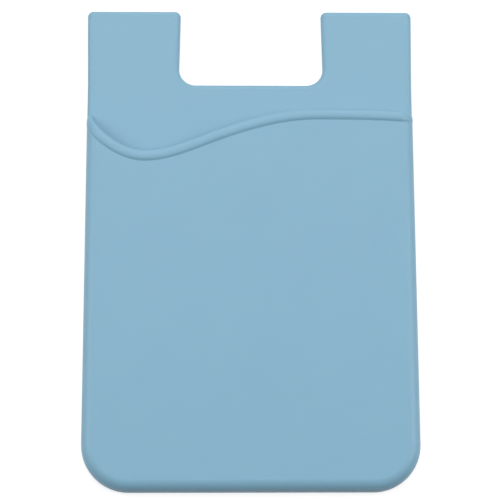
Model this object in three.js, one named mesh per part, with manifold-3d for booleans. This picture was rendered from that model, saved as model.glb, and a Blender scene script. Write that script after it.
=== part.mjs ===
// A stick-on card pocket for the back of a phone, in millimetres.
// One moulded silicone body has a back panel with two ears, a pocket for one or two bank cards
// and a wavy, rounded lip along the pocket's mouth. An adhesive pad covers the body's back, and
// a release liner covers the pad until it is used.
// The part lies on its back: +Z runs out of the front, +Y from the closed bottom to the ears,
// and the origin is the middle of the liner's underside.

import * as THREE from 'three';
import { mergeVertices } from 'three/addons/utils/BufferGeometryUtils.js';
import Module from 'manifold-3d';

const wasm = await Module();
wasm.setup();

// Card that the pocket is made for, and the room beside it
const cardWidth = 54;
const cardClearance = 0.3;

// Outline of the body, seen from the front: its width follows from the card and the side walls
const bodyHeight = 87;
const sideWall = 1.9;
const bottomWall = 2;
const bottomCornerRadius = 8.2;
const bottomCornerWall = 1.1;

// Ears and the notch between them, which lies a little right of the middle. The ears widen upwards.
const notchWidth = 25.9;
const notchShift = 0.2;
const notchDepth = 14;
const notchCornerRadius = 3;
const earCornerRadius = 1.05;
const earFlare = 0.22;

// Section of the body, from its back to its front
const panelThickness = 1.1;
const cardGap = 0.85;
const frontThickness = 1.05;
const panelEdgeRadius = 0.9;
const pocketEdgeRadius = 2.1;
const edgeLand = 0.1;

// Mouth line, as heights above the body's lower edge and places right of its middle
const mouthLeftHeight = 65.48;
const mouthLeftSlope = -1.2;
const mouthTroughHeight = 59.14;
const mouthTroughPlace = -18.6;
const mouthRiseHeight = 61.99;
const mouthRisePlace = -8.2;
const mouthRiseSlope = 0.4;
const mouthCrestHeight = 66.83;
const mouthCrestPlace = 12.2;
const mouthRightHeight = 66.25;
const mouthRightSlope = -0.1;

// Lip: a bead along the mouth, which stands proud of the front and of the sides. Its section is a
// flattened oval: a squareness of 2 is a plain ellipse, and more brings it nearer to a rectangle.
const lipWidth = 2.1;
const lipThickness = 1.55;
const lipSquareness = 2.6;
const lipProudOfFront = 0.3;
const lipProudOfSide = 0.05;
const lipEndSunk = 0.3;
const lipEndDrop = 0.5;
const lipFooting = 0.6;

// Adhesive pad and release liner, cut to the body's outline
const padInset = 1.8;
const padThickness = 0.2;
const padCornerRadius = 1;
const linerOverhang = 0.4;
const linerThickness = 0.12;

// Fineness of the curved faces, and how far a cutting shape reaches past what it cuts
const arcSegments = 5;
const edgeSegments = 4;
const frontStations = 44;
const roundoverStations = 6;
const lipSides = 16;
const cutMargin = 2;

const bodyThickness = panelThickness + cardGap + frontThickness;
const halfSlot = cardWidth / 2 + cardClearance;
const halfWidth = halfSlot + sideWall;
const bodyTop = bodyHeight / 2;
const bodyBottom = -bodyHeight / 2;
const notchBottom = bodyTop - notchDepth;
const panelRound = Math.min(panelEdgeRadius, panelThickness - edgeLand, earCornerRadius - edgeLand);
const pocketRound = Math.min(pocketEdgeRadius, bodyThickness - edgeLand, bottomCornerRadius - edgeLand);

// The slot's lower corners leave the corner wall, measured along the diagonal of the body's corner.
const slotCornerSpan = bottomCornerRadius - (sideWall + bottomWall) / 2;
const slotCornerExcess = slotCornerSpan * Math.SQRT2 - bottomCornerRadius + bottomCornerWall;
const slotCornerRadius = Math.max(slotCornerExcess / (Math.SQRT2 - 1), edgeLand);

// The body's outline, drawn anticlockwise and moved inwards by an inset.
function outline(inset, earCorner) {
  const side = halfWidth - inset;
  const top = bodyTop - inset;
  const bottom = bodyBottom + inset;
  const bottomCorner = bottomCornerRadius - inset;
  const notchLeft = notchShift - notchWidth / 2 - inset;
  const notchRight = notchShift + notchWidth / 2 + inset;
  const notchCorner = notchCornerRadius + inset;
  const notchArcs = notchBottom - inset + notchCorner;
  const earOuter = side + earFlare - earCorner;
  const earInset = earCorner - earFlare;
  const shape = new THREE.Shape();
  shape.moveTo(bottomCorner - side, bottom);
  shape.absarc(side - bottomCorner, bottom + bottomCorner, bottomCorner, -Math.PI / 2, 0);
  shape.lineTo(side, notchBottom);
  shape.absarc(earOuter, top - earCorner, earCorner, 0, Math.PI / 2);
  shape.absarc(notchRight + earInset, top - earCorner, earCorner, Math.PI / 2, Math.PI);
  shape.absarc(notchRight - notchCorner, notchArcs, notchCorner, 0, -Math.PI / 2, true);
  shape.absarc(notchLeft + notchCorner, notchArcs, notchCorner, -Math.PI / 2, -Math.PI, true);
  shape.absarc(notchLeft - earInset, top - earCorner, earCorner, 0, Math.PI / 2);
  shape.absarc(-earOuter, top - earCorner, earCorner, Math.PI / 2, Math.PI);
  shape.lineTo(-side, notchBottom);
  shape.absarc(bottomCorner - side, bottom + bottomCorner, bottomCorner, Math.PI, Math.PI * 1.5);
  return shape;
}

// A plain tongue with two round lower corners, open-ended upwards.
function tongue(side, bottom, top, corner) {
  const shape = new THREE.Shape();
  shape.moveTo(corner - side, bottom);
  shape.absarc(side - corner, bottom + corner, corner, -Math.PI / 2, 0);
  shape.lineTo(side, top);
  shape.lineTo(-side, top);
  shape.absarc(corner - side, bottom + corner, corner, Math.PI, Math.PI * 1.5);
  return shape;
}

const mouthKnots = [
  { x: -halfWidth, y: bodyBottom + mouthLeftHeight, slope: mouthLeftSlope },
  { x: mouthTroughPlace, y: bodyBottom + mouthTroughHeight, slope: 0 },
  { x: mouthRisePlace, y: bodyBottom + mouthRiseHeight, slope: mouthRiseSlope },
  { x: mouthCrestPlace, y: bodyBottom + mouthCrestHeight, slope: 0 },
  { x: halfWidth, y: bodyBottom + mouthRightHeight, slope: mouthRightSlope },
];
const mouthTop = Math.max(...mouthKnots.map((knot) => knot.y)) + lipWidth;

// One smooth cubic joins each knot of the mouth line to the next.
const mouthCurves = mouthKnots.slice(1).map((end, index) => {
  const start = mouthKnots[index];
  const third = (end.x - start.x) / 3;
  return new THREE.CubicBezierCurve(
    new THREE.Vector2(start.x, start.y),
    new THREE.Vector2(start.x + third, start.y + start.slope * third),
    new THREE.Vector2(end.x - third, end.y - end.slope * third),
    new THREE.Vector2(end.x, end.y),
  );
});

// Height and slope of the mouth line at one place across the body.
function mouthAt(x) {
  const curve = mouthCurves.find((candidate) => x <= candidate.v3.x) ?? mouthCurves.at(-1);
  const share = (x - curve.v0.x) / (curve.v3.x - curve.v0.x);
  const tangent = curve.getTangent(share);
  return { y: curve.getPoint(share).y, slope: tangent.y / tangent.x };
}

// One place of the lip on the pocket's rounded side: the angle is 0 where the side's rounding
// leaves the flat front and a quarter turn where it reaches the side wall.
function sideStation(side, angle) {
  const lean = Math.sin(angle);
  return {
    x: side * (halfWidth - pocketRound + pocketRound * lean),
    z: bodyThickness - pocketRound + pocketRound * Math.cos(angle),
    normal: new THREE.Vector3(side * lean, 0, Math.cos(angle)),
    proud: THREE.MathUtils.lerp(lipProudOfFront, lipProudOfSide, lean),
    footing: lipFooting,
  };
}

// The lip's end, sunk into the side wall below the rounding.
function endStation(side) {
  const station = sideStation(side, Math.PI / 2);
  station.z -= lipEndDrop;
  station.proud = -lipEndSunk;
  return station;
}

// All places of the lip from its left end to its right end.
function lipStations() {
  const angles = [];
  for (let step = 1; step <= roundoverStations; step += 1) {
    angles.push((step / roundoverStations) * (Math.PI / 2));
  }
  const flat = halfWidth - pocketRound;
  const stations = [endStation(-1)];
  for (const angle of angles.toReversed()) {
    stations.push(sideStation(-1, angle));
  }
  for (let step = 0; step <= frontStations; step += 1) {
    const station = sideStation(1, 0);
    station.x = flat * ((2 * step) / frontStations - 1);
    station.footing = 0;
    stations.push(station);
  }
  for (const angle of angles) {
    stations.push(sideStation(1, angle));
  }
  stations.push(endStation(1));
  return stations;
}

// Moves a place on the unit circle out to the flattened oval, along one axis.
function squared(share) {
  return Math.sign(share) * Math.abs(share) ** (2 / lipSquareness);
}

// The lip is a closed cylinder, flattened to its section and bent along its stations.
function lipGeometry() {
  const stations = lipStations();
  const geometry = new THREE.CylinderGeometry(1, 1, 1, lipSides, stations.length - 1);
  const position = geometry.getAttribute('position');
  const across = new THREE.Vector3(0, 1, 0);
  for (let index = 0; index < position.count; index += 1) {
    const local = new THREE.Vector3().fromBufferAttribute(position, index);
    const station = stations[Math.round((0.5 - local.y) * (stations.length - 1))];
    const mouth = mouthAt(station.x);
    const stretch = (lipWidth / 2) * Math.hypot(1, mouth.slope);
    const depth = station.proud - lipThickness / 2;
    const point = new THREE.Vector3(station.x, mouth.y, station.z);
    point.addScaledVector(station.normal, depth + (lipThickness / 2) * squared(local.z));
    point.addScaledVector(across, stretch * squared(local.x));
    position.setXYZ(index, point.x, point.y, point.z);
  }
  return geometry;
}

// A slab whose front edge is rounded, with spare length below its back at z = 0.
function roundedSlab(shape, thickness, round) {
  const geometry = new THREE.ExtrudeGeometry(shape, {
    depth: thickness - round + cutMargin,
    curveSegments: arcSegments,
    bevelThickness: round,
    bevelSize: round,
    bevelOffset: -round,
    bevelSegments: edgeSegments,
  });
  return geometry.translate(0, 0, -cutMargin);
}

// A slab with square edges between two heights.
function squareSlab(shape, low, high) {
  const geometry = new THREE.ExtrudeGeometry(shape, {
    depth: high - low,
    curveSegments: arcSegments,
    bevelEnabled: false,
  });
  return geometry.translate(0, 0, low);
}

// Everything above the mouth line, to be cut from the pocket. The side walls run on under the
// lip's ends by the footing.
function aboveMouth() {
  const reach = halfWidth + cutMargin;
  const ceiling = bodyTop + cutMargin;
  const left = mouthKnots[0];
  const right = mouthKnots.at(-1);
  const shape = new THREE.Shape();
  shape.moveTo(-reach, ceiling);
  shape.lineTo(-reach, left.y - left.slope * cutMargin);
  for (const station of lipStations().slice(1, -1)) {
    shape.lineTo(station.x, mouthAt(station.x).y + station.footing);
  }
  shape.lineTo(reach, right.y + right.slope * cutMargin);
  shape.lineTo(reach, ceiling);
  return squareSlab(shape, -2 * bodyThickness, 2 * bodyThickness);
}

// A closed solid for joining and cutting, from a geometry with its shared corners merged.
function toSolid(geometry) {
  geometry.deleteAttribute('normal');
  geometry.deleteAttribute('uv');
  const merged = mergeVertices(geometry);
  const vertProperties = new Float32Array(merged.getAttribute('position').array);
  const triVerts = new Uint32Array(merged.getIndex().array);
  return new wasm.Manifold(new wasm.Mesh({ numProp: 3, vertProperties, triVerts }));
}

function toGeometry(solid) {
  const { vertProperties, triVerts } = solid.getMesh();
  const geometry = new THREE.BufferGeometry();
  geometry.setAttribute('position', new THREE.BufferAttribute(vertProperties, 3));
  geometry.setIndex(new THREE.BufferAttribute(triVerts, 1));
  geometry.computeVertexNormals();
  return geometry;
}

// The moulded body: the panel with its ears, the pocket's walls and front, and the lip.
function pocketBody() {
  const panel = toSolid(roundedSlab(outline(0, earCornerRadius), panelThickness, panelRound));
  const pocketShape = tongue(halfWidth, bodyBottom, mouthTop + pocketRound, bottomCornerRadius);
  const pocket = toSolid(roundedSlab(pocketShape, bodyThickness, pocketRound));
  const slotShape = tongue(halfSlot, bodyBottom + bottomWall, mouthTop, slotCornerRadius);
  const cardSlot = toSolid(squareSlab(slotShape, -2 * cutMargin, panelThickness + cardGap));
  const walls = pocket.subtract(toSolid(aboveMouth())).add(toSolid(lipGeometry())).subtract(cardSlot);
  const underside = new THREE.BoxGeometry(4 * halfWidth, 2 * bodyHeight, 2 * bodyThickness);
  underside.translate(0, 0, -bodyThickness);
  return toGeometry(panel.add(walls).subtract(toSolid(underside)));
}

function addPiece(group, name, geometry, height, material) {
  const mesh = new THREE.Mesh(geometry, new THREE.MeshStandardMaterial(material));
  mesh.name = name;
  mesh.position.z = height;
  group.add(mesh);
}

const cardHolder = new THREE.Group();

const silicone = { color: '#8ab5cb', roughness: 0.7, metalness: 0 };
addPiece(cardHolder, 'pocket_body', pocketBody(), linerThickness + padThickness, silicone);

const adhesive = { color: '#e9e6dd', roughness: 0.5, metalness: 0 };
const padGeometry = squareSlab(outline(padInset, padCornerRadius), 0, padThickness);
addPiece(cardHolder, 'adhesive_pad', padGeometry, linerThickness, adhesive);

const coatedPaper = { color: '#f4f2ec', roughness: 0.4, metalness: 0 };
const linerGeometry = squareSlab(outline(padInset - linerOverhang, padCornerRadius), 0, linerThickness);
addPiece(cardHolder, 'release_liner', linerGeometry, 0, coatedPaper);

export default cardHolder;
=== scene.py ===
"""A stick-on silicone card pocket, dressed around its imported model.

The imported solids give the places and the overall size. This script models the finely rounded
silicone body with its raised lip, the die-cut tape and release paper on its back, their finishes,
and a plain studio whose camera looks down on the part as the photograph does.
"""

import logging
import math
from dataclasses import dataclass
from enum import Enum
from typing import Any

import bmesh
import bpy
from mathutils import Matrix, Vector


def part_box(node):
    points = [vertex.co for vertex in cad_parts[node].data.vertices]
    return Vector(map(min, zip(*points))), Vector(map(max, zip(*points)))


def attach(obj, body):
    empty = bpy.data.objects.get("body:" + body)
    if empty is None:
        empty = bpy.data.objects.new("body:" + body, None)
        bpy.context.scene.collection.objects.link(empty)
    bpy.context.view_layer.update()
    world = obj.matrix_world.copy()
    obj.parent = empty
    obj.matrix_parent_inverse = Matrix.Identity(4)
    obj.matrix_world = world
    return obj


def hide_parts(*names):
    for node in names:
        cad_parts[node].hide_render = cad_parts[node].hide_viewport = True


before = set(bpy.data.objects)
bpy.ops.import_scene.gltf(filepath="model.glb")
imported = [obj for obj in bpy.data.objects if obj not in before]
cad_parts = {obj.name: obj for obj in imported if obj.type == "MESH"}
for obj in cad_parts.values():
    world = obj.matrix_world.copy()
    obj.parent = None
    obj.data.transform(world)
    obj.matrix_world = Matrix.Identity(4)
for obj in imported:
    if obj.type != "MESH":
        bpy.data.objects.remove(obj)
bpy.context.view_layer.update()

LOG = logging.getLogger("card_pocket")
MM = 0.001
ROOT_BODY = "root"
# Edges that turn more than this many degrees stay sharp.
SHARP_ANGLE = 35.0

Point = tuple[float, float]


class Tone(Enum):
    """The sRGB colours of the part and its studio."""

    SILICONE = "#86b3ca"
    SILICONE_DEEP = "#83b0c8"
    TAPE = "#e9e6dd"
    PAPER = "#f4f2ec"
    PAPER_FIBRE = "#ece9e0"
    FLOOR = "#bababa"
    WHITE = "#ffffff"


class Join(Enum):
    """How one solid is combined with another."""

    ADD = "UNION"
    CUT = "DIFFERENCE"


def linear(tone: Tone) -> tuple[float, float, float, float]:
    """Turns an sRGB hex colour into the linear colour that shaders take.

    Args:
        tone: The colour to convert.

    Returns:
        Red, green, blue and a full alpha, in linear light.
    """
    channels = []
    for start in (1, 3, 5):
        value = int(tone.value[start:start + 2], 16) / 255
        channels.append(value / 12.92 if value <= 0.04045 else ((value + 0.055) / 1.055) ** 2.4)
    return (*channels, 1.0)


def add_node(
    tree: bpy.types.NodeTree,
    kind: str,
    settings: dict[str, Any] | None = None,
    inputs: dict[str | int, Any] | None = None,
) -> bpy.types.Node:
    """Adds one node with its settings, and fills its sockets with values or links.

    Args:
        tree: The node tree that takes the node.
        kind: The node's type name.
        settings: Properties of the node itself.
        inputs: Socket names or numbers, each with a value or with a socket to link from.

    Returns:
        The new node.
    """
    node = tree.nodes.new(kind)
    for name, value in (settings or {}).items():
        setattr(node, name, value)
    for name, value in (inputs or {}).items():
        if isinstance(value, bpy.types.NodeSocket):
            tree.links.new(value, node.inputs[name])
        else:
            node.inputs[name].default_value = value
    return node


def new_material(name: str) -> tuple[bpy.types.Material, bpy.types.NodeTree]:
    """Makes an empty node material.

    Args:
        name: The material's name.

    Returns:
        The material and its cleared node tree.
    """
    material = bpy.data.materials.new(name)
    material.use_nodes = True
    material.node_tree.nodes.clear()
    return material, material.node_tree


@dataclass(frozen=True)
class MouldedSilicone:
    """Pigmented silicone rubber from a blasted mould: matte, soft and a little translucent."""

    roughness: float = 0.42
    grain_size: float = 0.22
    grain_depth: float = 0.006
    waver_size: float = 9.0
    waver_depth: float = 0.02
    clouding_size: float = 7.0
    shine_spread: float = 0.04
    ior: float = 1.42
    translucency: float = 0.12
    light_reach: float = 0.6
    sheen: float = 0.12

    def build(self) -> bpy.types.Material:
        """Builds the finish.

        Returns:
            The silicone material.
        """
        material, tree = new_material("silicone_rubber_moulded")
        place = add_node(tree, "ShaderNodeTexCoord").outputs["Object"]
        # Pigment clouding: the eye sees one even pale blue that is never quite flat.
        clouding = add_node(
            tree,
            "ShaderNodeTexNoise",
            inputs={"Vector": place, "Scale": 1 / (self.clouding_size * MM), "Detail": 3.0},
        )
        colour = add_node(
            tree,
            "ShaderNodeMix",
            settings={"data_type": "RGBA"},
            inputs={0: clouding.outputs[0], 6: linear(Tone.SILICONE), 7: linear(Tone.SILICONE_DEEP)},
        )
        # The blasted mould's grain is about 0.05 mm, drawn coarser so that it can show at all.
        grain = add_node(
            tree,
            "ShaderNodeTexNoise",
            inputs={"Vector": place, "Scale": 1 / (self.grain_size * MM), "Detail": 4.0},
        )
        # Soft waver of a thin rubber sheet as it lies: it breaks up the flat panel's sheen.
        waver = add_node(
            tree,
            "ShaderNodeTexNoise",
            inputs={"Vector": place, "Scale": 1 / (self.waver_size * MM), "Detail": 1.0},
        )
        swell = add_node(
            tree,
            "ShaderNodeBump",
            inputs={"Strength": 1.0, "Distance": self.waver_depth * MM, "Height": waver.outputs[0]},
        )
        surface = add_node(
            tree,
            "ShaderNodeBump",
            inputs={
                "Strength": 1.0,
                "Distance": self.grain_depth * MM,
                "Height": grain.outputs[0],
                "Normal": swell.outputs[0],
            },
        )
        shine = add_node(
            tree,
            "ShaderNodeMapRange",
            inputs={
                0: grain.outputs[0],
                3: self.roughness - self.shine_spread,
                4: self.roughness + self.shine_spread,
            },
        )
        shader = add_node(
            tree,
            "ShaderNodeBsdfPrincipled",
            inputs={
                "Base Color": colour.outputs[2],
                "Roughness": shine.outputs[0],
                "IOR": self.ior,
                "Normal": surface.outputs[0],
                "Subsurface Weight": self.translucency,
                "Subsurface Radius": (0.7, 1.0, 1.2),
                "Subsurface Scale": self.light_reach * MM,
                "Sheen Weight": self.sheen,
                "Sheen Roughness": 0.4,
            },
        )
        add_node(tree, "ShaderNodeOutputMaterial", inputs={"Surface": shader.outputs[0]})
        return material


@dataclass(frozen=True)
class AcrylicTape:
    """Double-sided acrylic tape: a milky, slightly tacky layer with a soft shine at its cut edge."""

    roughness: float = 0.38
    ripple_size: float = 1.4
    ripple_depth: float = 0.004
    ior: float = 1.47
    translucency: float = 0.2
    light_reach: float = 0.3

    def build(self) -> bpy.types.Material:
        """Builds the finish.

        Returns:
            The tape material.
        """
        material, tree = new_material("acrylic_tape_die_cut")
        place = add_node(tree, "ShaderNodeTexCoord").outputs["Object"]
        # Rolled-on adhesive ripples a little, which shows as a broken shine.
        ripple = add_node(
            tree,
            "ShaderNodeTexNoise",
            inputs={"Vector": place, "Scale": 1 / (self.ripple_size * MM), "Detail": 2.0},
        )
        surface = add_node(
            tree,
            "ShaderNodeBump",
            inputs={"Strength": 1.0, "Distance": self.ripple_depth * MM, "Height": ripple.outputs[0]},
        )
        shader = add_node(
            tree,
            "ShaderNodeBsdfPrincipled",
            inputs={
                "Base Color": linear(Tone.TAPE),
                "Roughness": self.roughness,
                "IOR": self.ior,
                "Normal": surface.outputs[0],
                "Subsurface Weight": self.translucency,
                "Subsurface Scale": self.light_reach * MM,
            },
        )
        add_node(tree, "ShaderNodeOutputMaterial", inputs={"Surface": shader.outputs[0]})
        return material


@dataclass(frozen=True)
class ReleasePaper:
    """Silicone-coated release paper: smooth off-white sheet with a satin shine over its fibres."""

    roughness: float = 0.36
    fibre_size: float = 0.5
    fibre_depth: float = 0.004
    fibre_stretch: float = 0.35
    cloud_size: float = 5.0
    ior: float = 1.45

    def build(self) -> bpy.types.Material:
        """Builds the finish.

        Returns:
            The paper material.
        """
        material, tree = new_material("release_paper_coated")
        place = add_node(tree, "ShaderNodeTexCoord").outputs["Object"]
        stretched = add_node(
            tree,
            "ShaderNodeMapping",
            inputs={"Vector": place, "Scale": (1.0, self.fibre_stretch, 1.0)},
        )
        # Paper formation: cloudy patches a few millimetres wide, under the clear coat.
        clouds = add_node(
            tree,
            "ShaderNodeTexNoise",
            inputs={"Vector": place, "Scale": 1 / (self.cloud_size * MM), "Detail": 5.0},
        )
        colour = add_node(
            tree,
            "ShaderNodeMix",
            settings={"data_type": "RGBA"},
            inputs={0: clouds.outputs[0], 6: linear(Tone.PAPER), 7: linear(Tone.PAPER_FIBRE)},
        )
        # Fibres lie along the web, so the fine relief is longer one way than the other.
        fibres = add_node(
            tree,
            "ShaderNodeTexNoise",
            inputs={
                "Vector": stretched.outputs[0],
                "Scale": 1 / (self.fibre_size * MM),
                "Detail": 3.0,
            },
        )
        surface = add_node(
            tree,
            "ShaderNodeBump",
            inputs={"Strength": 1.0, "Distance": self.fibre_depth * MM, "Height": fibres.outputs[0]},
        )
        shader = add_node(
            tree,
            "ShaderNodeBsdfPrincipled",
            inputs={
                "Base Color": colour.outputs[2],
                "Roughness": self.roughness,
                "IOR": self.ior,
                "Normal": surface.outputs[0],
            },
        )
        add_node(tree, "ShaderNodeOutputMaterial", inputs={"Surface": shader.outputs[0]})
        return material


def arc(centre: Point, radius: float, start: float, end: float, steps: int) -> list[Point]:
    """Lists the points of a round corner.

    Args:
        centre: The corner's centre.
        radius: Its radius.
        start: Angle of the first point, in degrees.
        end: Angle of the last point, in degrees.
        steps: How many chords the corner has.

    Returns:
        Points from the start angle to the end angle, both included.
    """
    points = []
    for step in range(steps + 1):
        angle = math.radians(start + (end - start) * step / steps)
        points.append((centre[0] + radius * math.cos(angle), centre[1] + radius * math.sin(angle)))
    return points


@dataclass(frozen=True)
class BodyPlan:
    """Plan and section sizes that the pieces share, in millimetres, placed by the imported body."""

    half_width: float
    top: float
    bottom: float
    back: float
    side_wall: float = 1.9
    bottom_wall: float = 2.0
    bottom_corner: float = 8.2
    bottom_corner_wall: float = 1.1
    notch_width: float = 25.9
    notch_shift: float = 0.2
    notch_depth: float = 14.0
    notch_corner: float = 3.0
    ear_corner: float = 1.05
    ear_flare: float = 0.22
    panel_thickness: float = 1.1
    card_gap: float = 0.85
    front_thickness: float = 1.05
    corner_steps: int = 28
    small_corner_steps: int = 12

    @classmethod
    def from_frame(cls) -> "BodyPlan":
        """Takes the plan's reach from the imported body: the widest places are the ears' tops."""
        low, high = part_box("pocket_body")
        return cls(high[0] / MM - cls.ear_flare, high[1] / MM, low[1] / MM, low[2] / MM)

    @property
    def thickness(self) -> float:
        """Thickness of the pocket from its back to its front."""
        return self.panel_thickness + self.card_gap + self.front_thickness

    @property
    def slot_half_width(self) -> float:
        """Half the width of the card slot."""
        return self.half_width - self.side_wall

    @property
    def slot_corner(self) -> float:
        """Radius of the slot's lower corners, which leaves the corner wall."""
        span = self.bottom_corner - (self.side_wall + self.bottom_wall) / 2
        excess = span * math.sqrt(2) - self.bottom_corner + self.bottom_corner_wall
        return excess / (math.sqrt(2) - 1)

    def ears_outline(self, inset: float, ear_corner: float) -> list[Point]:
        """Lists the outline of both ears and the notch, from the right shoulder to the left one.

        Args:
            inset: How far the outline is moved inwards.
            ear_corner: Radius of the ears' corners after that.

        Returns:
            The outline's points.
        """
        side = self.half_width - inset
        notch_left = self.notch_shift - self.notch_width / 2 - inset
        notch_right = self.notch_shift + self.notch_width / 2 + inset
        notch_corner = self.notch_corner + inset
        shoulder = self.top - self.notch_depth
        high = self.top - inset - ear_corner
        outer = side + self.ear_flare - ear_corner
        ear_inset = ear_corner - self.ear_flare
        floor = shoulder - inset + notch_corner
        small = self.small_corner_steps
        points = [(side, shoulder)]
        points += arc((outer, high), ear_corner, 0, 90, small)
        points += arc((notch_right + ear_inset, high), ear_corner, 90, 180, small)
        points += arc((notch_right - notch_corner, floor), notch_corner, 0, -90, small)
        points += arc((notch_left + notch_corner, floor), notch_corner, -90, -180, small)
        points += arc((notch_left - ear_inset, high), ear_corner, 0, 90, small)
        points += arc((-outer, high), ear_corner, 90, 180, small)
        points.append((-side, shoulder))
        return points

    def outline(self, inset: float, ear_corner: float) -> list[Point]:
        """Lists the body's whole outline, anticlockwise from the middle of its lower edge.

        Args:
            inset: How far the outline is moved inwards.
            ear_corner: Radius of the ears' corners after that.

        Returns:
            The outline's points.
        """
        corner = self.bottom_corner - inset
        low = self.bottom + self.bottom_corner
        centre = self.half_width - self.bottom_corner
        points = arc((centre, low), corner, -90, 0, self.corner_steps)
        points += self.ears_outline(inset, ear_corner)
        points += arc((-centre, low), corner, 180, 270, self.corner_steps)
        return points

    def tongue(self, side: float, bottom: float, top: float, corner: float) -> list[Point]:
        """Lists a plain tongue with two round lower corners.

        Args:
            side: Half its width.
            bottom: Its lower edge.
            top: Its upper edge.
            corner: Radius of the lower corners.

        Returns:
            The tongue's points, anticlockwise.
        """
        points = arc((side - corner, bottom + corner), corner, -90, 0, self.corner_steps)
        points += [(side, top), (-side, top)]
        points += arc((corner - side, bottom + corner), corner, 180, 270, self.corner_steps)
        return points


def mesh_object(name: str, points: list[Vector], faces: list[list[int]]) -> bpy.types.Object:
    """Makes an object from points in millimetres.

    Args:
        name: The object's name.
        points: The mesh's corners, in millimetres.
        faces: Corner numbers of each face.

    Returns:
        The object, at the origin, linked to the scene.
    """
    mesh = bpy.data.meshes.new(name)
    mesh.from_pydata([point * MM for point in points], [], faces)
    mesh.update()
    thing = bpy.data.objects.new(name, mesh)
    bpy.context.scene.collection.objects.link(thing)
    return thing


def stacked_rings(name: str, rings: list[tuple[list[Point], float]]) -> bpy.types.Object:
    """Makes a closed solid from rings of equally many points, one above the other.

    Args:
        name: The object's name.
        rings: Each ring's plan and its level, from the lowest to the highest.

    Returns:
        The solid.
    """
    count = len(rings[0][0])
    points = [Vector((x, y, level)) for plan, level in rings for x, y in plan]
    faces = [list(reversed(range(count)))]
    for ring in range(len(rings) - 1):
        for index in range(count):
            following = (index + 1) % count
            low = ring * count
            high = low + count
            faces.append([low + index, low + following, high + following, high + index])
    last = (len(rings) - 1) * count
    faces.append(list(range(last, last + count)))
    return mesh_object(name, points, faces)


def edge_section(thickness: float, front: float, back: float, steps: int) -> list[Point]:
    """Lists the inset and level of each ring of a slab with rounded edges.

    Args:
        thickness: The slab's thickness.
        front: Radius of its front edge.
        back: Radius of its back edge.
        steps: Chords in the front edge's quarter circle.

    Returns:
        Pairs of inset and level, from the back to the front.
    """
    section = []
    back_steps = 3
    for step in range(back_steps + 1):
        angle = math.radians(90 * step / back_steps)
        section.append((back - back * math.sin(angle), back - back * math.cos(angle)))
    for step in range(steps + 1):
        angle = math.radians(90 * step / steps)
        section.append((front - front * math.cos(angle), thickness - front + front * math.sin(angle)))
    return section


def baked(thing: bpy.types.Object, name: str) -> bpy.types.Object:
    """Turns an object with modifiers into a plain mesh and removes the original.

    Args:
        thing: The object with live modifiers.
        name: The new object's name.

    Returns:
        The plain object, at the origin.
    """
    graph = bpy.context.evaluated_depsgraph_get()
    mesh = bpy.data.meshes.new_from_object(thing.evaluated_get(graph))
    mesh.name = name
    bpy.data.objects.remove(thing)
    plain = bpy.data.objects.new(name, mesh)
    bpy.context.scene.collection.objects.link(plain)
    return plain


def combine(base: bpy.types.Object, other: bpy.types.Object, how: Join) -> bpy.types.Object:
    """Joins or cuts one solid with another, and removes the other.

    Args:
        base: The solid that is changed.
        other: The solid that is added or cut away.
        how: Whether it is added or cut away.

    Returns:
        The new solid.
    """
    name = base.name
    step = base.modifiers.new("combine", "BOOLEAN")
    step.operation = how.value
    step.solver = "EXACT"
    step.object = other
    result = baked(base, name)
    bpy.data.objects.remove(other)
    return result


def tidy_surface(thing: bpy.types.Object, merge: float = 0.0005) -> None:
    """Merges doubles, points the faces outwards and shades all but the sharp edges smooth.

    Args:
        thing: The object whose mesh is tidied.
        merge: Distance in millimetres under which corners are merged.
    """
    work = bmesh.new()
    work.from_mesh(thing.data)
    bmesh.ops.remove_doubles(work, verts=work.verts, dist=merge * MM)
    bmesh.ops.dissolve_degenerate(work, edges=work.edges, dist=merge * MM)
    bmesh.ops.recalc_face_normals(work, faces=work.faces)
    work.to_mesh(thing.data)
    work.free()
    thing.data.shade_smooth()
    thing.data.set_sharp_from_angle(angle=math.radians(SHARP_ANGLE))


def weighted(thing: bpy.types.Object) -> bpy.types.Object:
    """Gives a mesh normals weighted by face area, so that flat faces shade flat.

    Args:
        thing: The smooth-shaded object.

    Returns:
        The plain object with its normals stored.
    """
    step = thing.modifiers.new("weighted", "WEIGHTED_NORMAL")
    step.keep_sharp = True
    return baked(thing, thing.name)


def hand_over(piece: bpy.types.Object, node: str, material: bpy.types.Material) -> None:
    """Dresses a finished piece and puts it in its node's place.

    Args:
        piece: The finished piece.
        node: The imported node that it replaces.
        material: The piece's finish.
    """
    piece.data.materials.clear()
    piece.data.materials.append(material)
    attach(piece, ROOT_BODY)
    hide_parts(node)
    LOG.info("%s: %d faces, replaces %s", piece.name, len(piece.data.polygons), node)


@dataclass(frozen=True)
class Knot:
    """One knot of the mouth line: its place across the body, its height and its slope."""

    place: float
    height: float
    slope: float


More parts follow.
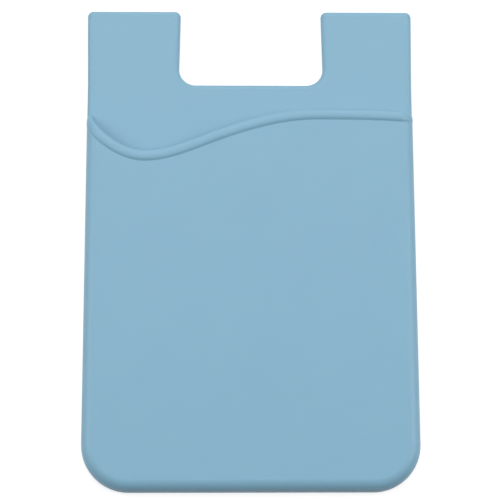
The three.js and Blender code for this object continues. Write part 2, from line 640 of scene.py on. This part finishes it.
@dataclass(frozen=True)
class MouthLine:
    """The wavy mouth of the pocket: heights above the lower edge, places right of the middle."""

    plan: BodyPlan
    left: Knot = Knot(0.0, 65.48, -1.2)
    trough: Knot = Knot(-18.6, 59.14, 0.0)
    rise: Knot = Knot(-8.2, 61.99, 0.4)
    crest: Knot = Knot(12.2, 66.83, 0.0)
    right: Knot = Knot(0.0, 66.25, -0.1)

    def knots(self) -> list[Knot]:
        """Lists the knots with the end ones at the body's sides."""
        start = Knot(-self.plan.half_width, self.left.height, self.left.slope)
        end = Knot(self.plan.half_width, self.right.height, self.right.slope)
        return [start, self.trough, self.rise, self.crest, end]

    def at(self, place: float) -> Point:
        """Finds the line's height and slope at one place.

        Args:
            place: Distance right of the body's middle.

        Returns:
            The height in the part's frame, and the slope.
        """
        knots = self.knots()
        index = 1
        while index < len(knots) - 1 and place > knots[index].place:
            index += 1
        start, end = knots[index - 1], knots[index]
        span = end.place - start.place
        share = (place - start.place) / span
        if share < 0 or share > 1:
            near = start if share < 0 else end
            return self.plan.bottom + near.height + near.slope * (place - near.place), near.slope
        square, cube = share**2, share**3
        height = (
            (2 * cube - 3 * square + 1) * start.height
            + (cube - 2 * square + share) * span * start.slope
            + (3 * square - 2 * cube) * end.height
            + (cube - square) * span * end.slope
        )
        slope = (
            6 * (square - share) * (start.height - end.height) / span
            + (3 * square - 4 * share + 1) * start.slope
            + (3 * square - 2 * share) * end.slope
        )
        return self.plan.bottom + height, slope


@dataclass(frozen=True)
class Station:
    """One place of the lip on the pocket's outer surface."""

    place: float
    level: float
    normal: Vector
    proud: float
    footing: float


@dataclass(frozen=True)
class Lip:
    """The bead along the mouth, a flattened oval swept over the pocket's front and sides."""

    plan: BodyPlan
    line: MouthLine
    round_over: float
    width: float = 2.1
    thickness: float = 1.55
    proud_of_front: float = 0.3
    proud_of_side: float = 0.05
    end_sunk: float = 0.3
    end_drop: float = 0.5
    footing: float = 0.6
    squareness: float = 2.6
    # The fillet's foot lies a hair under the front, so that the two surfaces cross cleanly.
    fillet: float = 0.5
    fillet_sunk: float = 0.01
    front_steps: int = 150
    side_steps: int = 14
    oval_steps: int = 40
    fillet_steps: int = 6
    search_steps: int = 40
    search_turn: float = 0.0001

    def side_station(self, side: int, angle: float) -> Station:
        """Places the lip on the rounded side of the pocket.

        Args:
            side: -1 at the left, 1 at the right.
            angle: 0 where the rounding leaves the flat front, a quarter turn at the side wall.

        Returns:
            The station.
        """
        lean, rise = math.sin(angle), math.cos(angle)
        return Station(
            side * (self.plan.half_width - self.round_over * (1 - lean)),
            self.plan.thickness - self.round_over * (1 - rise),
            Vector((side * lean, 0, rise)),
            self.proud_of_front + (self.proud_of_side - self.proud_of_front) * lean,
            self.footing,
        )

    def end_station(self, side: int) -> Station:
        """Places the lip's end, sunk into the side wall below the rounding."""
        last = self.side_station(side, math.pi / 2)
        return Station(last.place, last.level - self.end_drop, last.normal, -self.end_sunk, 0.0)

    def stations(self) -> list[Station]:
        """Lists the lip's stations from its left end to its right end."""
        angles = [math.pi / 2 * step / self.side_steps for step in range(1, self.side_steps + 1)]
        flat = self.plan.half_width - self.round_over
        stations = [self.end_station(-1)]
        stations += [self.side_station(-1, angle) for angle in reversed(angles)]
        front = self.side_station(1, 0.0)
        for step in range(self.front_steps + 1):
            place = flat * (2 * step / self.front_steps - 1)
            stations.append(Station(place, front.level, front.normal, front.proud, 0.0))
        stations += [self.side_station(1, angle) for angle in angles]
        stations.append(self.end_station(1))
        return stations

    def oval(self, angle: float) -> Vector:
        """Finds one point of the flattened oval, in millimetres from its middle.

        Args:
            angle: Turn from the lower edge, over the top, towards the upper edge.

        Returns:
            The point: across the lip and up from the oval's middle.
        """
        power = 2 / self.squareness
        across, up = math.cos(angle), math.sin(angle)
        return Vector(
            (
                -self.width / 2 * math.copysign(abs(across) ** power, across),
                self.thickness / 2 * math.copysign(abs(up) ** power, up),
            )
        )

    def section(self) -> list[Point]:
        """Draws the lip's section: a flattened oval with a small fillet on the pocket's front.

        Returns:
            Points in widths across and thicknesses up, from the oval's highest point.
        """
        ground = self.thickness / 2 - self.proud_of_front - self.fillet_sunk
        low, high, turn = 0.0, math.pi / 2, self.search_turn
        # Halves the range until the fillet's circle touches both the oval and the ground.
        for _ in range(self.search_steps):
            angle = (low + high) / 2
            along = (self.oval(angle + turn) - self.oval(angle - turn)).normalized()
            outwards = Vector((-along.y, along.x))
            centre = self.oval(angle) + self.fillet * outwards
            if centre.y < ground + self.fillet:
                low = angle
            else:
                high = angle
        lean = math.degrees(math.atan2(-outwards.y, -outwards.x))
        points = [(centre.x, -self.thickness / 4)]
        points += arc(tuple(centre), self.fillet, -90, lean, self.fillet_steps)
        rest = 1.5 * math.pi - angle
        for step in range(1, self.oval_steps + 1):
            points.append(tuple(self.oval(angle + rest * step / self.oval_steps)))
        return [(x / self.width, y / self.thickness - 0.5) for x, y in points]

    def section_object(self) -> bpy.types.Object:
        """Makes the section as a closed loop of edges."""
        points = self.section()
        count = len(points)
        mesh = bpy.data.meshes.new("lip_section")
        edges = [(index, (index + 1) % count) for index in range(count)]
        mesh.from_pydata([(x, y, 0.0) for x, y in points], edges, [])
        thing = bpy.data.objects.new("lip_section", mesh)
        bpy.context.scene.collection.objects.link(thing)
        return thing

    def guide(self) -> bpy.types.Object:
        """Makes the line of stations, which carries each station's sizes as attributes."""
        stations = self.stations()
        points, stretches = [], []
        for station in stations:
            height, slope = self.line.at(station.place)
            points.append(Vector((station.place, height, station.level + self.plan.back)) * MM)
            stretches.append(math.hypot(1, slope))
        mesh = bpy.data.meshes.new("lip_guide")
        mesh.from_pydata(points, [(index, index + 1) for index in range(len(points) - 1)], [])
        normal = mesh.attributes.new("surface_normal", "FLOAT_VECTOR", "POINT")
        normal.data.foreach_set("vector", [value for item in stations for value in item.normal])
        proud = mesh.attributes.new("proud", "FLOAT", "POINT")
        proud.data.foreach_set("value", [item.proud * MM for item in stations])
        stretch = mesh.attributes.new("stretch", "FLOAT", "POINT")
        stretch.data.foreach_set("value", stretches)
        thing = bpy.data.objects.new("lip", mesh)
        bpy.context.scene.collection.objects.link(thing)
        return thing

    def tree(self) -> tuple[bpy.types.NodeTree, dict[str, str]]:
        """Builds the node tree that sweeps the section along the guide.

        Returns:
            The tree, and the identifier of each of its named inputs.
        """
        tree = bpy.data.node_groups.new("lip_sweep", "GeometryNodeTree")
        face = tree.interface
        face.new_socket("Geometry", in_out="INPUT", socket_type="NodeSocketGeometry")
        names = {"Section": "Object", "Width": "Float", "Thickness": "Float", "Material": "Material"}
        sockets = {
            name: face.new_socket(name, in_out="INPUT", socket_type=f"NodeSocket{kind}").identifier
            for name, kind in names.items()
        }
        face.new_socket("Geometry", in_out="OUTPUT", socket_type="NodeSocketGeometry")
        given = add_node(tree, "NodeGroupInput").outputs
        rail = add_node(tree, "GeometryNodeMeshToCurve", inputs={0: given["Geometry"]})
        section = add_node(tree, "GeometryNodeObjectInfo", inputs={"Object": given["Section"]})
        loop = add_node(tree, "GeometryNodeMeshToCurve", inputs={0: section.outputs["Geometry"]})
        where = add_node(tree, "GeometryNodeInputPosition")
        marked_loop = add_node(
            tree,
            "GeometryNodeStoreNamedAttribute",
            settings={"data_type": "FLOAT_VECTOR", "domain": "POINT"},
            inputs={"Geometry": loop.outputs[0], "Name": "section", "Value": where.outputs[0]},
        )
        marked_rail = add_node(
            tree,
            "GeometryNodeStoreNamedAttribute",
            settings={"data_type": "FLOAT_VECTOR", "domain": "POINT"},
            inputs={"Geometry": rail.outputs[0], "Name": "station", "Value": where.outputs[0]},
        )
        sweep = add_node(
            tree,
            "GeometryNodeCurveToMesh",
            inputs={
                "Curve": marked_rail.outputs[0],
                "Profile Curve": marked_loop.outputs[0],
                "Fill Caps": True,
            },
        )
        read = {}
        for name, kind in {
            "section": "FLOAT_VECTOR",
            "station": "FLOAT_VECTOR",
            "surface_normal": "FLOAT_VECTOR",
            "proud": "FLOAT",
            "stretch": "FLOAT",
        }.items():
            node = add_node(
                tree,
                "GeometryNodeInputNamedAttribute",
                settings={"data_type": kind},
                inputs={"Name": name},
            )
            read[name] = node.outputs["Attribute"]
        size = add_node(
            tree, "ShaderNodeCombineXYZ", inputs={0: given["Width"], 1: given["Thickness"]}
        )
        sized = add_node(
            tree,
            "ShaderNodeVectorMath",
            settings={"operation": "MULTIPLY"},
            inputs={0: read["section"], 1: size.outputs[0]},
        )
        parts = add_node(tree, "ShaderNodeSeparateXYZ", inputs={0: sized.outputs[0]})
        across = add_node(
            tree,
            "ShaderNodeMath",
            settings={"operation": "MULTIPLY"},
            inputs={0: parts.outputs[0], 1: read["stretch"]},
        )
        sideways = add_node(tree, "ShaderNodeCombineXYZ", inputs={1: across.outputs[0]})
        lift = add_node(
            tree,
            "ShaderNodeMath",
            settings={"operation": "ADD"},
            inputs={0: read["proud"], 1: parts.outputs[1]},
        )
        outwards = add_node(
            tree,
            "ShaderNodeVectorMath",
            settings={"operation": "SCALE"},
            inputs={0: read["surface_normal"], "Scale": lift.outputs[0]},
        )
        moved = add_node(
            tree,
            "ShaderNodeVectorMath",
            settings={"operation": "ADD"},
            inputs={0: read["station"], 1: sideways.outputs[0]},
        )
        placed = add_node(
            tree,
            "ShaderNodeVectorMath",
            settings={"operation": "ADD"},
            inputs={0: moved.outputs[0], 1: outwards.outputs[0]},
        )
        shaped = add_node(
            tree,
            "GeometryNodeSetPosition",
            inputs={"Geometry": sweep.outputs[0], "Position": placed.outputs[0]},
        )
        realised = add_node(tree, "GeometryNodeRealizeInstances", inputs={0: shaped.outputs[0]})
        dressed = add_node(
            tree,
            "GeometryNodeSetMaterial",
            inputs={"Geometry": realised.outputs[0], "Material": given["Material"]},
        )
        add_node(tree, "NodeGroupOutput", inputs={0: dressed.outputs[0]})
        return tree, sockets

    def build(self, material: bpy.types.Material) -> bpy.types.Object:
        """Sweeps the lip and turns it into a plain closed solid.

        Args:
            material: The lip's finish.

        Returns:
            The lip.
        """
        section = self.section_object()
        lip = self.guide()
        tree, sockets = self.tree()
        step = lip.modifiers.new("sweep", "NODES")
        step.node_group = tree
        step[sockets["Section"]] = section
        step[sockets["Width"]] = self.width * MM
        step[sockets["Thickness"]] = self.thickness * MM
        step[sockets["Material"]] = material
        solid = baked(lip, "lip")
        bpy.data.objects.remove(section)
        for name in ("section", "station", "surface_normal", "proud", "stretch"):
            solid.data.attributes.remove(solid.data.attributes[name])
        tidy_surface(solid)
        return solid


@dataclass(frozen=True)
class PocketBody:
    """The one-piece silicone body: pocket walls and front, panel with ears, and the lip."""

    plan: BodyPlan
    panel_edge: float = 0.9
    pocket_edge: float = 2.1
    back_edge: float = 0.08
    edge_steps: int = 14
    # The root of the ears keeps just inside the walls and the back, up to a place under the lip.
    root_inset: float = 0.02
    root_rise: float = 0.8
    root_depth: float = 5.0
    # The slot starts a hair above the panel, so that the two never share a plane.
    slot_clearance: float = 0.005
    margin: float = 2.0

    def ears(self, line: MouthLine) -> bpy.types.Object:
        """Builds the panel's free part with its ears and notch, and its root inside the pocket.

        Args:
            line: The mouth line, under which the root keeps just inside the pocket's walls.

        Returns:
            The panel.
        """
        plan = self.plan
        foot = plan.bottom + line.trough.height - self.root_depth
        left, right = (
            line.at(place)[0] + self.root_rise for place in (-plan.half_width, plan.half_width)
        )
        thickness = plan.panel_thickness - self.root_inset
        rings = []
        for inset, level in edge_section(
            thickness, self.panel_edge, self.back_edge, self.edge_steps
        ):
            side = plan.half_width - inset
            root = side - self.root_inset
            ring = [(-root, left), (-root, foot), (root, foot), (root, right)]
            ring.append((side, right + self.root_inset))
            ring += plan.ears_outline(inset, plan.ear_corner - inset)
            ring.append((-side, left + self.root_inset))
            rings.append((ring, plan.back + self.root_inset + level))
        return stacked_rings("ears", rings)

    def pocket(self, top: float) -> bpy.types.Object:
        """Builds the pocket as a full block, before its mouth and card slot are cut.

        Args:
            top: The block's upper end, above the mouth.

        Returns:
            The block.
        """
        plan = self.plan
        rings = []
        for inset, level in edge_section(
            plan.thickness, self.pocket_edge, self.back_edge, self.edge_steps
        ):
            side = plan.half_width - inset
            corner = plan.bottom_corner - inset
            rings.append((plan.tongue(side, plan.bottom + inset, top, corner), plan.back + level))
        return stacked_rings("silicone_body", rings)

    def above_mouth(self, line: MouthLine, lip: Lip) -> bpy.types.Object:
        """Builds the solid above the mouth line, which is cut from the pocket."""
        reach = self.plan.half_width + self.margin
        ceiling = self.plan.top + self.margin
        plan = [(-reach, ceiling), (-reach, line.at(-reach)[0])]
        for station in lip.stations()[1:-1]:
            plan.append((station.place, line.at(station.place)[0] + station.footing))
        plan += [(reach, line.at(reach)[0]), (reach, ceiling)]
        low, high = -self.margin, 2 * self.plan.thickness
        return stacked_rings("above_mouth", [(plan, low), (plan, high)])

    def slot(self, top: float) -> bpy.types.Object:
        """Builds the card slot, which starts a hair above the panel."""
        plan = self.plan
        shape = plan.tongue(
            plan.slot_half_width, plan.bottom + plan.bottom_wall, top, plan.slot_corner
        )
        floor = plan.back + plan.panel_thickness
        levels = (floor + self.slot_clearance, floor + plan.card_gap)
        return stacked_rings("card_slot", [(shape, level) for level in levels])

    def build(self, material: bpy.types.Material) -> bpy.types.Object:
        """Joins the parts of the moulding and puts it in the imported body's place.

        Args:
            material: The silicone.

        Returns:
            The finished body.
        """
        line = MouthLine(self.plan)
        lip = Lip(self.plan, line, self.pocket_edge)
        mouth_top = max(self.plan.bottom + knot.height for knot in line.knots()) + lip.width
        body = self.pocket(mouth_top + self.margin)
        body = combine(body, self.above_mouth(line, lip), Join.CUT)
        body = combine(body, lip.build(material), Join.ADD)
        body = combine(body, self.ears(line), Join.ADD)
        body = combine(body, self.slot(mouth_top), Join.CUT)
        tidy_surface(body)
        body = weighted(body)
        hand_over(body, "pocket_body", material)
        return body


@dataclass(frozen=True)
class Backing:
    """The tape on the body's back and the paper over it, both die-cut to the body's outline."""

    plan: BodyPlan
    pad_inset: float = 1.8
    liner_overhang: float = 0.4
    corner: float = 1.0
    cut_edge: float = 0.02
    edge_steps: int = 3
    merge: float = 0.0002

    def sheet(self, name: str, node: str, inset: float) -> bpy.types.Object:
        """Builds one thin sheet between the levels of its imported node.

        Args:
            name: The piece's name.
            node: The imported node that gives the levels.
            inset: How far the sheet keeps inside the body's outline.

        Returns:
            The sheet.
        """
        low, high = (corner[2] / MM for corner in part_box(node))
        rings = [
            (self.plan.outline(inset + edge, self.corner), low + level)
            for edge, level in edge_section(
                high - low, self.cut_edge, self.cut_edge, self.edge_steps
            )
        ]
        piece = stacked_rings(name, rings)
        tidy_surface(piece, merge=self.merge)
        return weighted(piece)

    def build(self, tape: bpy.types.Material, paper: bpy.types.Material) -> None:
        """Builds the tape and the paper.

        Args:
            tape: Finish of the adhesive pad.
            paper: Finish of the release liner.
        """
        pad = self.sheet("tape_pad", "adhesive_pad", self.pad_inset)
        hand_over(pad, "adhesive_pad", tape)
        liner = self.sheet("paper_liner", "release_liner", self.pad_inset - self.liner_overhang)
        hand_over(liner, "release_liner", paper)


@dataclass(frozen=True)
class ProductCamera:
    """The camera that looks down on the part as the photograph does."""

    tilt: float = 12.54
    turn: float = -1.13
    roll: float = -0.19
    distance: float = 300.0
    aim: Point = (-0.053, -0.777)
    focal_pixels: float = 1693.8
    image_pixels: int = 500
    sensor: float = 36.0
    nearest: float = 0.01

    def build(self) -> None:
        """Makes the camera and sets it as the scene's."""
        data = bpy.data.cameras.new("product_camera")
        data.sensor_width = self.sensor
        data.lens = self.focal_pixels / self.image_pixels * self.sensor
        data.clip_start = self.nearest
        camera = bpy.data.objects.new("product_camera", data)
        tilt, turn, roll = (math.radians(value) for value in (self.tilt, self.turn, self.roll))
        about = Matrix.Rotation(turn, 3, "Y")
        right = about @ Vector((1, 0, 0))
        up = about @ Vector((0, math.cos(tilt), math.sin(tilt)))
        back = about @ Vector((0, -math.sin(tilt), math.cos(tilt)))
        rolled_right = math.cos(roll) * right + math.sin(roll) * up
        rolled_up = math.cos(roll) * up - math.sin(roll) * right
        facing = Matrix((rolled_right, rolled_up, back)).transposed()
        spot = (Vector((*self.aim, 0)) + back * self.distance) * MM
        camera.matrix_world = Matrix.Translation(spot) @ facing.to_4x4()
        bpy.context.scene.collection.objects.link(camera)
        bpy.context.scene.camera = camera


@dataclass(frozen=True)
class Softbox:
    """One soft area lamp: where it stands, in metres, and what it gives."""

    name: str
    place: tuple[float, float, float]
    size: float
    power: float

    def build(self) -> None:
        """Hangs the lamp, aimed at the part."""
        data = bpy.data.lights.new(self.name, "AREA")
        data.shape = "SQUARE"
        data.size = self.size
        data.energy = self.power
        lamp = bpy.data.objects.new(self.name, data)
        lamp.location = self.place
        lamp.rotation_euler = (-Vector(self.place)).to_track_quat("-Z", "Y").to_euler()
        bpy.context.scene.collection.objects.link(lamp)


@dataclass(frozen=True)
class Studio:
    """Plain pale floor, white surroundings and soft light from above the ears."""

    floor_size: float = 6.0
    # The floor lies a hair under the part, so that it and the liner never share a plane.
    floor_drop: float = 0.05
    floor_glow: float = 0.8
    floor_shade: float = 0.34
    sky: float = 0.11
    lamps: tuple[Softbox, ...] = (
        Softbox("softbox_overhead", (0.0, 0.90, 1.30), 1.5, 16.4),
        Softbox("softbox_left", (-0.60, 0.05, 0.45), 0.5, 2.52),
        Softbox("softbox_right", (0.60, 0.05, 0.45), 0.5, 2.62),
    )

    def floor_material(self) -> bpy.types.Material:
        """Builds the floor's finish: white to the camera, pale to the light, with a soft shadow."""
        material, tree = new_material("studio_floor_paint")
        seen = add_node(tree, "ShaderNodeLightPath").outputs
        first = add_node(
            tree,
            "ShaderNodeMath",
            settings={"operation": "MAXIMUM"},
            inputs={0: seen["Is Camera Ray"], 1: seen["Is Glossy Ray"]},
        )
        direct = add_node(
            tree,
            "ShaderNodeMath",
            settings={"operation": "MAXIMUM"},
            inputs={0: first.outputs[0], 1: seen["Is Transmission Ray"]},
        )
        pale = add_node(tree, "ShaderNodeBsdfDiffuse", inputs={"Color": linear(Tone.FLOOR)})
        shade = (self.floor_shade, self.floor_shade, self.floor_shade, 1.0)
        shadowed = add_node(tree, "ShaderNodeBsdfDiffuse", inputs={"Color": shade})
        glow = add_node(
            tree,
            "ShaderNodeEmission",
            inputs={"Color": linear(Tone.WHITE), "Strength": self.floor_glow},
        )
        white = add_node(
            tree, "ShaderNodeAddShader", inputs={0: glow.outputs[0], 1: shadowed.outputs[0]}
        )
        mixed = add_node(
            tree,
            "ShaderNodeMixShader",
            inputs={0: direct.outputs[0], 1: pale.outputs[0], 2: white.outputs[0]},
        )
        add_node(tree, "ShaderNodeOutputMaterial", inputs={"Surface": mixed.outputs[0]})
        return material

    def surroundings(self) -> None:
        """Sets the world: white to the camera, and a dim even sky to the part."""
        world = bpy.data.worlds.new("studio_surroundings")
        bpy.context.scene.world = world
        world.use_nodes = True
        tree = world.node_tree
        tree.nodes.clear()
        seen = add_node(tree, "ShaderNodeLightPath").outputs
        first = add_node(
            tree,
            "ShaderNodeMath",
            settings={"operation": "MAXIMUM"},
            inputs={0: seen["Is Camera Ray"], 1: seen["Is Transmission Ray"]},
        )
        strength = add_node(
            tree,
            "ShaderNodeMapRange",
            inputs={0: first.outputs[0], 3: self.sky, 4: 1.0},
        )
        background = add_node(
            tree,
            "ShaderNodeBackground",
            inputs={"Color": linear(Tone.WHITE), "Strength": strength.outputs[0]},
        )
        add_node(tree, "ShaderNodeOutputWorld", inputs={"Surface": background.outputs[0]})

    def build(self) -> None:
        """Lays the floor, sets the world and hangs the lamps."""
        reach = self.floor_size / 2 / MM
        turns = ((-1, -1), (1, -1), (1, 1), (-1, 1))
        corners = [Vector((x * reach, y * reach, -self.floor_drop)) for x, y in turns]
        floor = mesh_object("studio_floor", corners, [[0, 1, 2, 3]])
        floor.data.materials.append(self.floor_material())
        self.surroundings()
        for lamp in self.lamps:
            lamp.build()
        bpy.context.scene.view_settings.view_transform = "Standard"


def main() -> None:
    """Builds the studio and the part."""
    logging.basicConfig(level=logging.INFO, format="%(name)s: %(message)s")
    ProductCamera().build()
    Studio().build()
    plan = BodyPlan.from_frame()
    PocketBody(plan).build(MouldedSilicone().build())
    Backing(plan).build(AcrylicTape().build(), ReleasePaper().build())


if __name__ == "__main__":
    main()
